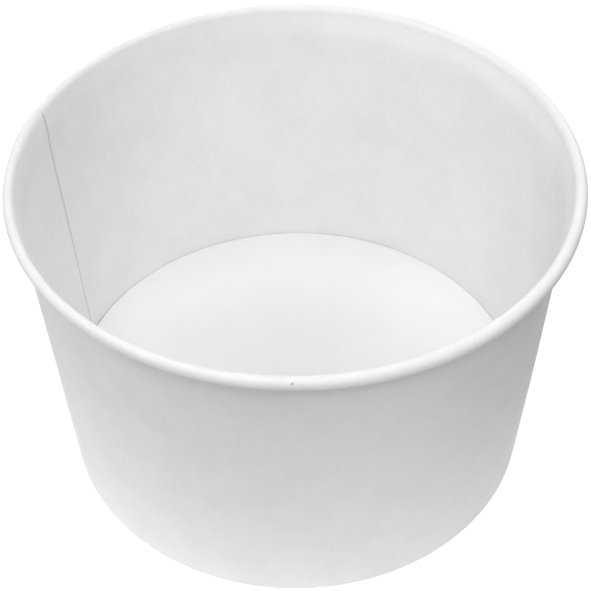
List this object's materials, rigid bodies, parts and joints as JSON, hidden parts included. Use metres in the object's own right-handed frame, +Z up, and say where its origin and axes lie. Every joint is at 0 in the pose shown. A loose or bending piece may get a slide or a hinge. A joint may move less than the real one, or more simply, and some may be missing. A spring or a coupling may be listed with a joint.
{
  "type": "paper soup cup",
  "caption": "Round tapered paper soup cup with a rolled rim, a lapped side seam and a flat bottom set up inside a folded heel.",
  "frame": {"origin": "centre of the foot, on the plane that the cup stands on", "axes": "+Z up along the cup's axis through the mouth; the side seam's inner edge lies at azimuth 160.7 degrees, counter-clockwise from +X"},
  "size_m": [0.115, 0.115, 0.0715],
  "materials": {
    "wall_board": "matte",
    "bottom_board": "satin"
  },
  "bodies": {
    "root": {"sidewall": "wall_board", "bottom_disc": "bottom_board"}
  },
  "joints": []
}
